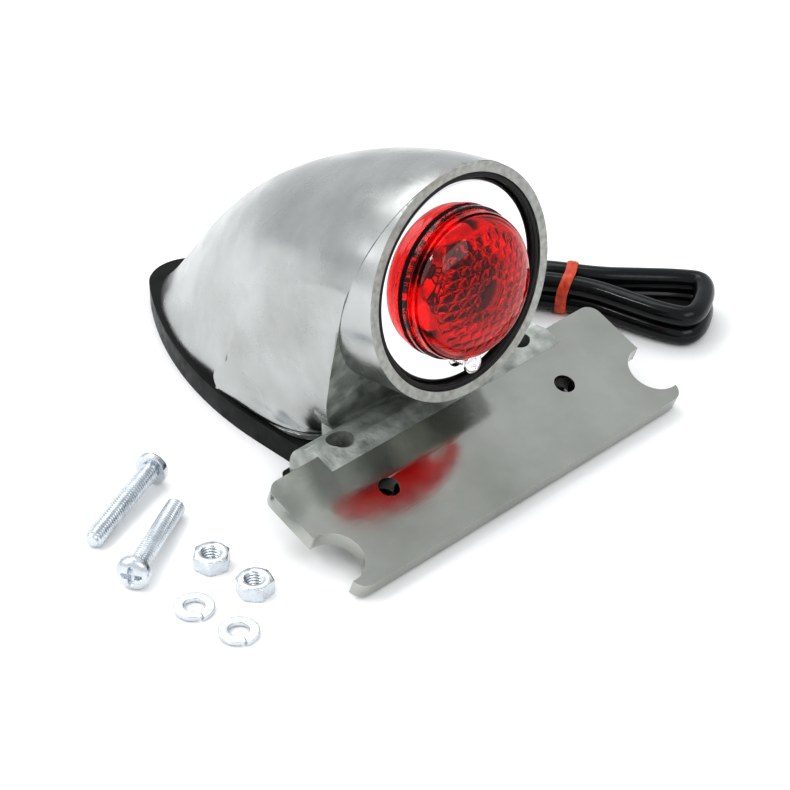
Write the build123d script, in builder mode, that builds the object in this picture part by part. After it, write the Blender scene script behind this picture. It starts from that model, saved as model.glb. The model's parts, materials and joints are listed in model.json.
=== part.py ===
from build123d import *
from math import atan2, cos, degrees, pi, radians, sin, tan
import os

# Motorcycle tail light: a polished cast housing with a licence plate bracket, a round lamp
# unit in its mouth, the lead folded into a hank beside it and the loose mounting hardware.
# Millimetres. +Z is up and -Y is the way the lens looks. The origin lies midway between the
# two mounting holes, on the plane the light stands on.

# ---- driving dimensions: housing ----
lens_tilt = 7.7            # the lens looks this far above level, degrees
rim_y = -12.4              # centre of the rim's front face
rim_z = 64.2
rim_radius = 36.7
wall = 3.2                 # thickness of the cast wall and of the rim
base_half_width = 36.0
nose_y = 121.7             # rearmost point of the housing's lower edge
base_centre_y = 37.7       # widest point of the lower edge
waist = 1.1                # how much the flanks draw in half way round
crown_reaches = (85.2, 81.0, 82.4, 89.5)   # crown from the web's foot, at even turns back and down
front_reach = 2.0          # front of every section, from the web's foot
blend_step = 0.15          # the body stands this much proud of the tube
front_power = 5.0          # squareness of the sections' front half; 2 is an ellipse
crown_squaring = 0.2       # how much the crown half sharpens towards the base
outline_steps = 6          # points on each quarter of a section
web_y = 8.1                # front face of the web at web_z
web_z = 26.5
web_lean = 12.4            # the web leans back towards its foot, degrees
web_thick = 4.5            # wall left behind the web
foot_half_span = 33.0      # the web's foot on the ear bar
foot_back_y = 13.5
foot_height = 9.0

# ---- driving dimensions: ears, plate bracket and gasket ----
gasket_height = 8.0
gasket_ledge = 2.2         # how far the gasket shows outside the casting
gasket_nose_ledge = 6.0
gasket_wall = 7.5
gasket_nose_inset = 6.0     # hollow's rear end, inside the casting's nose
arch_start_y = 37.7        # where the straight flanks end
arch_nose_radius = 14.0
hole_pitch = 76.0          # between the two mounting holes
ear_hole_radius = 4.3
ear_half_span = 49.0
ear_radius = 9.2           # rounded top of the bar that carries the ears
ear_centre_y = 1.3
ear_centre_z = 11.3
plate_length = 140.0
plate_depth = 43.5
plate_thick = 5.5
plate_slope = 19.9         # degrees, falling to the front
plate_top_y = -2.3         # upper back edge of the plate's top face
plate_top_z = 20.9
plate_joint_y = -8.5       # where the plate leaves the ear bar
plate_hole_pitch = 76.0
plate_hole_radius = 3.4
plate_hole_inset = 19.8    # from the plate's upper back edge
notch_radius = 8.75        # half-round notches in the plate's ends
notch_inset = 30.7         # from the plate's upper back edge
notch_overhang = 1.0       # notch centre inside the plate's end
plate_corner = 4.5

# ---- driving dimensions: lamp unit, measured from the rim's face along the lens axis ----
seal_gap = 0.05            # running clearance of pieces that touch
seal_face = -4.6           # front of the rubber ring
seal_depth = 6.0
seal_tuck = 0.4            # how far the ring reaches in under the bezel's lip
bezel_radius = 32.0
bezel_face = -2.0
bezel_thick = 1.0
bezel_lip = 5.0
bezel_roll = 1.6           # rounded outer edge
bezel_bore = 20.5
lens_radius = 23.4
lens_height = 16.5
lens_skirt = 4.0
lens_wall = 2.0
lens_flange = 0.9          # flange beyond the skirt
lens_flange_height = 1.8
lens_gasket_thick = 0.8
lens_gasket_width = 2.5
screw_offset = 26.2        # lens screw below the lens axis
screw_head_radius = 3.4
screw_head_height = 2.4
screw_head_crown = 0.7     # rounded share of the head's height
recess_span = 3.0
recess_width = 0.7
recess_depth = 1.2
screw_radius = 1.95
screw_length = 11.0
clip_width = 8.0
clip_depth = 7.0
clip_thick = 2.2
fit_gap = 0.15             # clearance between pieces that come apart

# ---- driving dimensions: bulb and bulb holder ----
reflector_radius = 19.5
reflector_sheet = 0.8
reflector_flange = 1.7     # flange round the bowl's mouth
reflector_flare = 1.3      # how much the mouth is wider than the bowl's middle
reflector_deep = 9.0       # depth of the bowl's middle
reflector_waist = 5.6      # how much the bowl draws in towards its floor
reflector_floor = 2.6      # height of that waist above the floor
socket_wall = 0.8
socket_length = 33.0
socket_mouth = -24.0       # mouth of the bulb socket on the lens axis
cap_radius = 7.6
cap_length = 16.0
cap_sheet = 0.6
insulator_thick = 2.0
neck_radius = 6.7
neck_length = 5.0
head_arc = (25.0, -35.0)   # degrees on the glass: a point on its side, and where the cone begins
cone_foot = 1.0            # the cone ends this far in front of the cap
stem_radius = 2.4
stem_height = 12.0
stem_foot = 2.0            # height of its cone
filament_wire = 0.25
filaments = ((0.0, 4.5, 2.0), (-5.0, 3.6, -2.0))   # height on the bulb's axis, half span, offset
filament_foot = 1.2
filament_bow = 0.8
wire_hole_radius = 4.9      # opening in the socket's rear
bulb_radius = 12.0
bulb_tip = 10.5            # tip of the glass on the lens axis
glass_wall = 0.6
pin_radius = 1.0
pin_stand = 1.3
pin_set_back = 6.5         # first bayonet pin behind the cap's front edge
pin_stagger = 3.0          # second pin sits this much deeper
bayonet_travel = 3.0
bayonet_turn = 30.0        # degrees
disc_thick = 2.5
contact_pitch = 7.0
contact_radius = 1.5
contact_height = 1.0
contact_pin_radius = 1.0
pin_head_height = 1.0
pin_tail = 3.0
spring_wire = 0.8
spring_radius = 6.3
spring_turns = 4.0

# ---- driving dimensions: lead, hank and loose hardware ----
sleeve_diameter = 7.0
sleeve_route = ((14.0, 95.7), (36.0, 98.5), (54.5, 86.0), (57.5, 64.0))
wire_diameter = 1.9
wire_pitch = 2.05
outlet_gap = 0.3           # round the sleeve, in the gasket
floor_gap = 0.1            # under the sleeve
wire_leave = 14.0          # straight run out of the socket
wire_fall_height = 22.0    # where the wires bend down behind the socket
wire_fall_back = 8.0       # how far behind the middle of their way
wire_fan = 2.2             # how much the wires spread there
wire_arrive = 9.0          # straight run into the sleeve
hank_heading = -60.0       # degrees from +X
hank_band_x = 87.0
hank_band_y = 23.0
hank_far_reach = 52.0
hank_near_reach = 49.0
hank_lobe_radius = 15.0
hank_waist_half = 7.6
hank_height = 14.6
band_width = 3.8
band_thick = 1.1
tail_offset = 3.4          # nearest wire end beside the hank's middle line
tail_spread = 2.6
tail_sink = 4.0            # how deep the wire ends start inside the hank
tail_bends = (14.0, 11.0, 8.0)      # where each wire end turns, beyond the hank
tail_drift = 3.0           # sideways drift up to the turn
tail_headings = (40.0, 52.0, 64.0)
tail_runs = (12.0, 16.0, 20.0)
tail_height = 2.1
bullet_radius = 2.0
bullet_length = 13.0
bullet_neck = 0.8          # the rear part's share of the radius
bullet_front = 0.55        # the front part's share of the length
thread_radius = 3.0
screw_shank = 35.0
pan_head_radius = 5.25
pan_head_height = 3.9
nut_flats = 10.0
nut_height = 5.0
washer_outer = 5.9
washer_inner = 3.05
washer_thick = 1.6
washer_gap = 1.2
washer_cut = 20.0          # slant of the cut, degrees
screw_places = ((-76.0, 43.7, 201.0), (-109.5, 9.8, 30.0))   # x, y, heading of the shank
nut_places = ((-88.2, 1.2, 12.0), (-87.1, -16.5, 41.0))
washer_places = ((-104.9, -10.6, 250.0), (-102.8, -27.4, 245.0))

os.makedirs("parts", exist_ok=True)


def save(node, name):
    node.part.label = name
    export_step(node.part, f"parts/{name}.step")


# ---- shared planes ----
tilt = radians(lens_tilt)
lens_axis = Axis((0, rim_y, rim_z), (0, -cos(tilt), sin(tilt)))
lamp_plane = Plane((0, rim_y, rim_z), x_dir=(1, 0, 0), z_dir=(0, -cos(tilt), sin(tilt)))
side_plane = Plane.YZ


def on_axis(along, up=0.0, right=0.0):
    """A point given along the lens axis from the rim's face, and across it."""
    return (right, rim_y - along * cos(tilt) + up * sin(tilt), rim_z + along * sin(tilt) + up * cos(tilt))


# The body's sections all turn about one line across the object: the foot of the web. The
# first section is the web's plane, where the lamp's tube meets the body, and the last is the
# outline of the open base.
web_tilt = radians(web_lean)
turn_y = web_y + (web_z - gasket_height) * tan(web_tilt)
sweep_angle = pi / 2 + web_tilt
tube_depth = turn_y - rim_y - (rim_z - gasket_height) * tan(web_tilt)
tube_depth = tube_depth / (cos(tilt) - sin(tilt) * tan(web_tilt))
tube_end = on_axis(-tube_depth)
tube_reach = (tube_end[2] - gasket_height) / cos(web_tilt)
tube_half = rim_radius / cos(tilt + web_tilt) + blend_step


def body_plane(share, setback):
    lean = share * sweep_angle - web_tilt
    return Plane((0, turn_y + setback, gasket_height), x_dir=(1, 0, 0), z_dir=(0, -cos(lean), sin(lean)))


def body_half_outline(station, inset, setback):
    """Right half of a section: two quarter ellipses of changing squareness and a middle line."""
    share = station / (len(crown_reaches) + 1)
    lean = share * sweep_angle - web_tilt
    reaches = (tube_reach + tube_half, *crown_reaches, nose_y - turn_y)
    crown = reaches[station] - inset - setback * sin(lean)
    half_width = rim_radius + blend_step - inset - waist * sin(pi * share)
    half_width += (base_half_width - rim_radius) * share
    centre = tube_reach + (base_centre_y - turn_y - tube_reach) * share - setback * sin(lean)
    crown_power = 2 - crown_squaring * share ** 2
    crown_curve = [(0, crown)]
    front_curve = [(half_width, centre)]
    for step in range(1, outline_steps):
        near, far = cos(pi / 2 * step / outline_steps), sin(pi / 2 * step / outline_steps)
        stretch = (near ** crown_power + far ** crown_power) ** (-1 / crown_power)
        crown_curve.append((half_width * far * stretch, centre + (crown - centre) * near * stretch))
        stretch = (near ** front_power + far ** front_power) ** (-1 / front_power)
        front_curve.append((half_width * near * stretch, centre - (centre - front_reach) * far * stretch))
    crown_curve.append((half_width, centre))
    front_curve.append((0, front_reach))
    Spline(*crown_curve, tangents=[(1, 0), (0, -1)])
    Spline(*front_curve, tangents=[(0, -1), (-1, 0)])
    Line((0, front_reach), (0, crown))


stations = range(len(crown_reaches) + 2)

# ---- housing: tube, body, web and ear bar in one casting, its right half mirrored ----
with BuildPart() as cavity:
    for station in stations:
        with BuildSketch(body_plane(station / stations[-1], web_thick)):
            with BuildLine():
                body_half_outline(station, wall + blend_step * 2, web_thick)
            make_face()
    loft()

with BuildPart() as bore:
    with BuildSketch(lamp_plane.offset(-2 * rim_radius)):
        Circle(rim_radius - wall)
    extrude(amount=2 * rim_radius + 1)
    split(bisect_by=body_plane(0, web_thick + 1), keep=Keep.TOP)

with BuildPart() as tube:
    with BuildSketch(lamp_plane.offset(-2 * rim_radius)):
        Circle(rim_radius)
        Rectangle(rim_radius, 2 * rim_radius, align=(Align.MAX, Align.CENTER), mode=Mode.SUBTRACT)
    extrude(amount=2 * rim_radius)
    split(bisect_by=body_plane(0, 0), keep=Keep.TOP)

plate_fall = tan(radians(plate_slope))
joint_top_z = plate_top_z - (plate_top_y - plate_joint_y) * plate_fall

with BuildPart() as housing:
    for station in stations:
        with BuildSketch(body_plane(station / stations[-1], 0)):
            with BuildLine():
                body_half_outline(station, 0, 0)
            make_face()
    loft()
    add(tube.part)
    # the bar between the ears: half-round on top, upright faces, the plate's slope in front
    with BuildSketch(side_plane):
        with BuildLine():
            back = (ear_centre_y + ear_radius, ear_centre_z)
            top = (ear_centre_y, ear_centre_z + ear_radius)
            Polyline(top, (plate_top_y, plate_top_z), (plate_joint_y, joint_top_z),
                     (plate_joint_y, gasket_height), (back[0], gasket_height), back)
            RadiusArc(back, top, -ear_radius)
        make_face()
    extrude(amount=ear_half_span)
    # a foot that ties the bar to the web
    with BuildSketch(Plane.XY.offset(gasket_height)):
        with Locations((0, ear_centre_y)):
            Rectangle(foot_half_span, foot_back_y - ear_centre_y, align=(Align.MIN, Align.MIN))
    extrude(amount=foot_height)
    add(cavity.part, mode=Mode.SUBTRACT)
    add(bore.part, mode=Mode.SUBTRACT)
    # mounting holes, right through the ears
    with BuildSketch(Plane.XY):
        with Locations((hole_pitch / 2, 0)):
            Circle(ear_hole_radius)
    extrude(amount=plate_top_z + 10, mode=Mode.SUBTRACT)
    mirror(about=Plane.YZ)
print("housing", round(housing.part.volume), housing.part.is_valid, len(housing.part.solids()))
save(housing, "housing")

# ---- licence plate bracket: a sloping slab with holes and half-round notches ----
slope = radians(plate_slope)
plate_edge = (0, plate_top_y, plate_top_z)
plate_plane = Plane(plate_edge, x_dir=(1, 0, 0), z_dir=(0, -sin(slope), cos(slope)))
joint_inset = (plate_top_y - plate_joint_y) / cos(slope)
with BuildPart() as plate_bracket:
    with BuildSketch(plate_plane):
        with Locations((0, -plate_depth / 2)):
            RectangleRounded(plate_length, plate_depth, plate_corner)
        notch_x = plate_length / 2 - notch_overhang
        with Locations((-notch_x, -notch_inset), (notch_x, -notch_inset)):
            Circle(notch_radius, mode=Mode.SUBTRACT)
        with Locations((-plate_hole_pitch / 2, -plate_hole_inset), (plate_hole_pitch / 2, -plate_hole_inset)):
            Circle(plate_hole_radius, mode=Mode.SUBTRACT)
    extrude(amount=-plate_thick)
    # the ear bar takes the slab's place behind the joint
    with BuildSketch(side_plane):
        with BuildLine():
            Polyline((plate_joint_y, 0), (30, 0), (30, 40), (plate_joint_y, 40), close=True)
        make_face()
    extrude(amount=ear_half_span, both=True, mode=Mode.SUBTRACT)
save(plate_bracket, "plate_bracket")

# ---- rubber base gasket: the plan of the open base with its ears, holes and an outlet ----
def arch_outline(half_width, nose, front):
    """Straight flanks, two large arcs and a round nose."""
    run = nose - arch_nose_radius - arch_start_y
    flank_radius = run ** 2 + half_width ** 2 - arch_nose_radius ** 2
    flank_radius = flank_radius / (2 * (half_width - arch_nose_radius))
    turn = atan2(run, flank_radius - half_width)

    def on_flank(angle, side):
        return (side * (half_width - flank_radius + flank_radius * cos(angle)),
                arch_start_y + flank_radius * sin(angle))

    for side in (1, -1):
        Line((side * half_width, front), (side * half_width, arch_start_y))
        ThreePointArc((side * half_width, arch_start_y), on_flank(turn / 2, side), on_flank(turn, side))
    ThreePointArc(on_flank(turn, 1), (0, nose), on_flank(turn, -1))
    Line((-half_width, front), (half_width, front))


sleeve_radius = sleeve_diameter / 2
sleeve_points = [(x, y, sleeve_radius + floor_gap) for x, y in sleeve_route]
outlet_run = Vector(*sleeve_points[1]) - Vector(*sleeve_points[0])

with BuildPart() as outlet:
    with BuildSketch(Plane(sleeve_points[0], x_dir=(outlet_run.Y, -outlet_run.X, 0), z_dir=outlet_run)):
        Circle(sleeve_radius + outlet_gap)
        Rectangle(2 * (sleeve_radius + outlet_gap), 3 * sleeve_radius, align=(Align.CENTER, Align.MAX))
    extrude(amount=outlet_run.length)

with BuildPart() as base_gasket:
    with BuildSketch():
        with BuildLine():
            arch_outline(base_half_width + gasket_ledge, nose_y + gasket_nose_ledge, ear_centre_y)
        make_face()
        with BuildLine():
            arch_outline(base_half_width + gasket_ledge - gasket_wall, nose_y - gasket_nose_inset,
                         foot_back_y + gasket_ledge)
        make_face(mode=Mode.SUBTRACT)
        with Locations((0, (plate_joint_y + ear_centre_y + ear_radius) / 2)):
            RectangleRounded(2 * (ear_half_span + gasket_ledge),
                             ear_centre_y + ear_radius - plate_joint_y + 2 * gasket_ledge, gasket_ledge)
        with Locations((-hole_pitch / 2, 0), (hole_pitch / 2, 0)):
            Circle(ear_hole_radius, mode=Mode.SUBTRACT)
    extrude(amount=gasket_height)
    add(outlet.part, mode=Mode.SUBTRACT)
save(base_gasket, "base_gasket")


# ---- lamp unit: every piece is turned about the lens axis ----
def axis_section(angle):
    """Sketch plane through the lens axis: X is outwards at this angle, Y is forwards."""
    turn = radians(angle)
    outwards = (cos(turn), sin(turn) * sin(tilt), sin(turn) * cos(tilt))
    across = (sin(turn), -cos(turn) * sin(tilt), -cos(turn) * cos(tilt))
    return Plane((0, rim_y, rim_z), x_dir=outwards, z_dir=across)


bezel_back = bezel_face - bezel_thick
lip_back = bezel_face - bezel_lip
with BuildPart() as rim_seal:
    seal_outer = rim_radius - wall - seal_gap
    seal_back = seal_face - seal_depth
    with BuildSketch(axis_section(0)):
        with BuildLine():
            seal_inner = bezel_radius - bezel_thick - seal_tuck
            Polyline((seal_outer, seal_face), (seal_outer, seal_back), (seal_inner, seal_back),
                     (seal_inner, lip_back - seal_gap), (bezel_radius + seal_gap, lip_back - seal_gap),
                     (bezel_radius + seal_gap, seal_face), close=True)
        make_face()
    revolve(axis=lens_axis)
save(rim_seal, "rim_seal")

with BuildPart() as chrome_bezel:
    with BuildSketch(axis_section(0)):
        with BuildLine():
            Polyline((bezel_bore, bezel_face), (bezel_radius, bezel_face), (bezel_radius, lip_back),
                     (bezel_radius - bezel_thick, lip_back), (bezel_radius - bezel_thick, bezel_back),
                     (bezel_bore, bezel_back), close=True)
        face = make_face()
        fillet(face.vertices().group_by(Axis.X)[-1].sort_by(Axis.Y)[-1], bezel_roll)
    revolve(axis=lens_axis)
    with BuildSketch(lamp_plane.offset(bezel_back - 1)):
        with Locations((0, -screw_offset)):
            Circle(screw_radius + fit_gap)
    extrude(amount=bezel_thick + 2, mode=Mode.SUBTRACT)
save(chrome_bezel, "chrome_bezel")

lens_base = bezel_face + lens_gasket_thick
with BuildPart() as lens_gasket:
    with BuildSketch(lamp_plane.offset(bezel_face)):
        Circle(lens_radius - fit_gap)
        Circle(lens_radius - fit_gap - lens_gasket_width, mode=Mode.SUBTRACT)
    extrude(amount=lens_gasket_thick)
save(lens_gasket, "lens_gasket")


def dome_half(radius, low, high):
    """Quarter ellipse from the skirt's top to the dome's crown."""
    shoulder = (radius * cos(pi / 4), low + (high - low) * sin(pi / 4))
    return Spline((radius, low), shoulder, (0, high), tangents=[(0, 1), (-1, 0)])


with BuildPart() as lens:
    skirt_radius = lens_radius - lens_flange
    skirt_top = lens_base + lens_skirt
    crown = bezel_face + lens_height
    with BuildSketch(axis_section(0)):
        with BuildLine():
            outer = dome_half(skirt_radius, skirt_top, crown)
            inner = dome_half(skirt_radius - lens_wall, skirt_top, crown - lens_wall)
            Line(outer @ 1, inner @ 1)
            flange_top = lens_base + lens_flange_height
            Polyline(inner @ 0, (skirt_radius - lens_wall, lens_base), (lens_radius, lens_base),
                     (lens_radius, flange_top), (skirt_radius, flange_top), outer @ 0)
        make_face()
    revolve(axis=lens_axis)
save(lens, "lens")

screw_seat = flange_top + seal_gap
with BuildPart() as lens_screw:
    with BuildSketch(lamp_plane.offset(screw_seat)):
        with Locations((0, -screw_offset)):
            Circle(screw_head_radius)
    extrude(amount=screw_head_height)
    fillet(lens_screw.faces().sort_by(lens_axis)[-1].edges(), screw_head_height * screw_head_crown)
    with BuildSketch(lamp_plane.offset(screw_seat)):
        with Locations((0, -screw_offset)):
            Circle(screw_radius)
    extrude(amount=-screw_length)
    with BuildSketch(lamp_plane.offset(screw_seat + screw_head_height)):
        with Locations((0, -screw_offset)):
            Rectangle(recess_span, recess_width)
            Rectangle(recess_width, recess_span)
    extrude(amount=-recess_depth, mode=Mode.SUBTRACT)
save(lens_screw, "lens_screw")

with BuildPart() as screw_clip:
    with BuildSketch(lamp_plane.offset(bezel_back)):
        with Locations((0, -screw_offset)):
            Rectangle(clip_width, clip_depth)
            Circle(screw_radius + seal_gap, mode=Mode.SUBTRACT)
    extrude(amount=-clip_thick)
save(screw_clip, "screw_clip")

# ---- reflector bowl and bulb socket ----
socket_inner = cap_radius + fit_gap
socket_outer = socket_inner + socket_wall
with BuildPart() as reflector:
    with BuildSketch(axis_section(0)):
        with BuildLine():
            front = bezel_back
            rear = socket_mouth + reflector_sheet
            mouth_radius = reflector_radius + reflector_sheet
            middle_radius = mouth_radius - reflector_flare
            waist_radius = middle_radius - reflector_waist
            Polyline((mouth_radius + reflector_flange, front), (mouth_radius, front),
                     (middle_radius, front - reflector_deep), (waist_radius, rear + reflector_floor),
                     (socket_outer, rear), (socket_outer, rear - reflector_sheet),
                     (waist_radius + reflector_sheet / 2, rear + reflector_floor - reflector_sheet),
                     (middle_radius + reflector_sheet, front - reflector_deep),
                     (mouth_radius + reflector_sheet, front - reflector_sheet),
                     (mouth_radius + reflector_flange, front - reflector_sheet), close=True)
        make_face()
    revolve(axis=lens_axis)
save(reflector, "reflector")

cap_front = socket_mouth - 1.5
socket_back = socket_mouth - socket_length
first_pin = cap_front - pin_set_back
half_slot = pin_radius + fit_gap
with BuildPart() as bulb_socket:
    with BuildSketch(axis_section(0)):
        with BuildLine():
            Polyline((socket_inner, socket_mouth), (socket_outer, socket_mouth), (socket_outer, socket_back),
                     (wire_hole_radius, socket_back), (wire_hole_radius, socket_back + socket_wall),
                     (socket_inner, socket_back + socket_wall), close=True)
        make_face()
    revolve(axis=lens_axis)
    # two J-shaped bayonet slots: a way in, a run across, and a hook that the spring holds the pin in
    slot_arc = degrees(2 * half_slot / socket_inner)
    for side, set_back in ((0, 0), (180, pin_stagger)):
        pin_height = first_pin - set_back
        run_height = pin_height - bayonet_travel
        cuts = ((0, 0, pin_height + half_slot), (0, bayonet_turn, run_height + half_slot),
                (bayonet_turn, 0, socket_mouth + 1))
        for start, turn, top in cuts:
            with BuildSketch(axis_section(side + start - slot_arc / 2)):
                with BuildLine():
                    Polyline((socket_inner - 1, run_height - half_slot),
                             (socket_outer + 1, run_height - half_slot),
                             (socket_outer + 1, top), (socket_inner - 1, top), close=True)
                make_face()
            revolve(axis=lens_axis, revolution_arc=slot_arc + turn, mode=Mode.SUBTRACT)
save(bulb_socket, "bulb_socket")

# ---- bulb: cap with pins, glass, stem, filaments and contacts ----
cap_back = cap_front - cap_length
with BuildPart() as bulb_cap:
    with BuildSketch(axis_section(0)):
        with BuildLine():
            Polyline((cap_radius - cap_sheet, cap_front), (cap_radius, cap_front), (cap_radius, cap_back),
                     (cap_radius - cap_sheet, cap_back), close=True)
        make_face()
    revolve(axis=lens_axis)
    for side, set_back in ((1, 0), (-1, pin_stagger)):
        with BuildSketch(Plane(on_axis(first_pin - set_back, right=side * (cap_radius - cap_sheet)),
                               z_dir=(side, 0, 0))):
            Circle(pin_radius)
        extrude(amount=cap_sheet + pin_stand)
save(bulb_cap, "bulb_cap")

with BuildPart() as cap_insulator:
    with BuildSketch(lamp_plane.offset(cap_back)):
        Circle(cap_radius - cap_sheet)
    extrude(amount=insulator_thick)
save(cap_insulator, "cap_insulator")

contact_places = ((-contact_pitch / 2, 0), (contact_pitch / 2, 0))
with BuildPart() as bulb_contacts:
    with BuildSketch(lamp_plane.offset(cap_back)):
        with Locations(*contact_places):
            Circle(contact_radius)
    extrude(amount=-contact_height)
save(bulb_contacts, "bulb_contacts")


def glass_outline(inset):
    """Round head, a cone and a straight neck, drawn from the tip down."""
    head_radius = bulb_radius - inset
    head_centre = bulb_tip - bulb_radius
    side, touch = [Vector(cos(radians(angle)), sin(radians(angle))) * head_radius + Vector(0, head_centre)
                   for angle in head_arc]
    neck = neck_radius - inset
    arc = ThreePointArc((0, head_centre + head_radius), side, touch)
    Polyline(arc @ 1, (neck, cap_front + cone_foot), (neck, cap_front - neck_length))
    return (neck, cap_front - neck_length), arc @ 0


with BuildPart() as bulb_glass:
    with BuildSketch(axis_section(0)):
        with BuildLine():
            outer_foot, outer_tip = glass_outline(0)
            inner_foot, inner_tip = glass_outline(glass_wall)
            Line(outer_foot, inner_foot)
            Line(outer_tip, inner_tip)
        make_face()
    revolve(axis=lens_axis)
save(bulb_glass, "bulb_glass")

with BuildPart() as bulb_stem:
    with BuildSketch(axis_section(0)):
        with BuildLine():
            Polyline((0, cap_front - neck_length),
                     (neck_radius - glass_wall - fit_gap, cap_front - neck_length),
                     (stem_radius, cap_front + stem_foot), (stem_radius, cap_front + stem_height),
                     (0, cap_front + stem_height), close=True)
        make_face()
    revolve(axis=lens_axis)
save(bulb_stem, "bulb_stem")

with BuildPart() as bulb_filaments:
    for height, half_span, up in filaments:
        low = cap_front + stem_height + seal_gap * 3
        top = bulb_tip - bulb_radius + height
        path = [on_axis(low, up=up / 3, right=-filament_foot), on_axis(top, up=up, right=-half_span),
                on_axis(top + filament_bow, up=up, right=0), on_axis(top, up=up, right=half_span),
                on_axis(low, up=up / 3, right=filament_foot)]
        with BuildLine():
            Polyline(*path)
        with BuildSketch(Plane(path[0], z_dir=Vector(*path[1]) - Vector(*path[0]))):
            Circle(filament_wire)
        sweep(transition=Transition.RIGHT)
save(bulb_filaments, "bulb_filaments")

# ---- spring-loaded contact plunger ----
disc_front = cap_back - contact_height - pin_head_height
with BuildPart() as contact_disc:
    with BuildSketch(lamp_plane.offset(disc_front)):
        Circle(socket_inner - fit_gap)
        with Locations(*contact_places):
            Circle(contact_pin_radius, mode=Mode.SUBTRACT)
    extrude(amount=-disc_thick)
save(contact_disc, "contact_disc")

with BuildPart() as contact_pins:
    with BuildSketch(lamp_plane.offset(disc_front - disc_thick - pin_tail)):
        with Locations(*contact_places):
            Circle(contact_pin_radius)
    extrude(amount=pin_tail + disc_thick)
    with BuildSketch(lamp_plane.offset(disc_front)):
        with Locations(*contact_places):
            Circle(contact_radius)
    extrude(amount=pin_head_height)
save(contact_pins, "contact_pins")

spring_front = disc_front - disc_thick
spring_back = socket_back + socket_wall
with BuildPart() as contact_spring:
    coil_height = spring_front - spring_back - spring_wire - 2 * seal_gap
    with BuildLine():
        coil = Helix(pitch=coil_height / spring_turns, height=coil_height, radius=spring_radius,
                     center=on_axis(spring_back + spring_wire / 2 + seal_gap), direction=lens_axis.direction)
    with BuildSketch(Plane(coil @ 0, z_dir=coil % 0)):
        Circle(spring_wire / 2)
    sweep(is_frenet=True)
save(contact_spring, "contact_spring")


# ---- the lead: wires inside, sleeve, hank, band, tails and bullets ----
def corner_radii(points):
    """Each arc is as large as its two runs allow: 0.45 of the shorter over tan of half the turn."""
    radii = []
    for before, here, after in zip(points, points[1:], points[2:]):
        arriving = Vector(*here) - Vector(*before)
        leaving = Vector(*after) - Vector(*here)
        half_turn = radians(arriving.get_angle(leaving)) / 2
        radii.append(0.45 * min(arriving.length, leaving.length) / tan(half_turn))
    return radii


def laid_out(x, y, heading):
    """A plane on the floor whose X has this heading, in degrees."""
    return Plane((x, y, 0), x_dir=(cos(radians(heading)), sin(radians(heading)), 0), z_dir=(0, 0, 1))


def start_plane(points):
    return Plane(points[0], z_dir=Vector(*points[1]) - Vector(*points[0]))


with BuildPart() as lead_sleeve:
    with BuildLine():
        FilletPolyline(*sleeve_points, radius=corner_radii(sleeve_points))
    with BuildSketch(start_plane(sleeve_points)):
        Circle(sleeve_radius)
    sweep()
print("sleeve radii", [round(radius, 1) for radius in corner_radii(sleeve_points)])
save(lead_sleeve, "lead_sleeve")

wire_radius = wire_diameter / 2
mouth = Vector(*sleeve_points[0])
along_mouth = outlet_run.normalized()
beside_mouth = Vector(-along_mouth.Y, along_mouth.X, 0)
tail_start = disc_front - disc_thick - pin_tail
wire_starts = {"brake_wire": on_axis(tail_start, right=contact_pitch / 2),
               "earth_wire": on_axis(socket_back, up=-(socket_inner + wire_hole_radius) / 2),
               "tail_wire": on_axis(tail_start, right=-contact_pitch / 2)}
for index, (name, start) in enumerate(wire_starts.items()):
    across = (index - 1) * wire_pitch
    end = mouth + beside_mouth * across
    before_end = end - along_mouth * wire_arrive
    leave = Vector(*start) + Vector(0, cos(tilt), -sin(tilt)) * wire_leave
    fall_y = (leave.Y + before_end.Y) / 2 + wire_fall_back + across
    fall = Vector(-across * wire_fan, fall_y, wire_fall_height)
    path = [start, tuple(leave), tuple(fall), tuple(before_end), tuple(end)]
    with BuildPart() as wire:
        with BuildLine():
            FilletPolyline(*path, radius=corner_radii(path))
        with BuildSketch(start_plane(path)):
            Circle(wire_radius)
        sweep()
    print(name, "radii", [round(radius, 1) for radius in corner_radii(path)])
    save(wire, name)

hank_plane = laid_out(hank_band_x, hank_band_y, hank_heading)
half_band = band_width / 2 + 0.3
with BuildPart() as lead_hank:
    with BuildSketch(hank_plane):
        for side, reach in ((1, hank_near_reach), (-1, hank_far_reach)):
            centre = reach - hank_lobe_radius
            lobe_ends = ((side * centre, hank_lobe_radius), (side * centre, -hank_lobe_radius))
            with BuildLine():
                ThreePointArc(lobe_ends[0], (side * reach, 0), lobe_ends[1])
                Polyline(lobe_ends[1], (side * half_band, -hank_waist_half),
                         (side * half_band, hank_waist_half), lobe_ends[0])
            make_face()
    extrude(amount=hank_height)
    with BuildSketch(hank_plane.offset(band_thick)):
        Rectangle(2 * half_band, 2 * hank_waist_half)
    extrude(amount=hank_height - band_thick)
save(lead_hank, "lead_hank")

with BuildPart() as hank_band:
    with BuildSketch(hank_plane):
        Rectangle(band_width, 2 * (hank_waist_half + band_thick))
    extrude(amount=hank_height + band_thick)
    with BuildSketch(hank_plane.offset(band_thick)):
        Rectangle(band_width, 2 * hank_waist_half)
    extrude(amount=hank_height - band_thick, mode=Mode.SUBTRACT)
save(hank_band, "hank_band")

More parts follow.
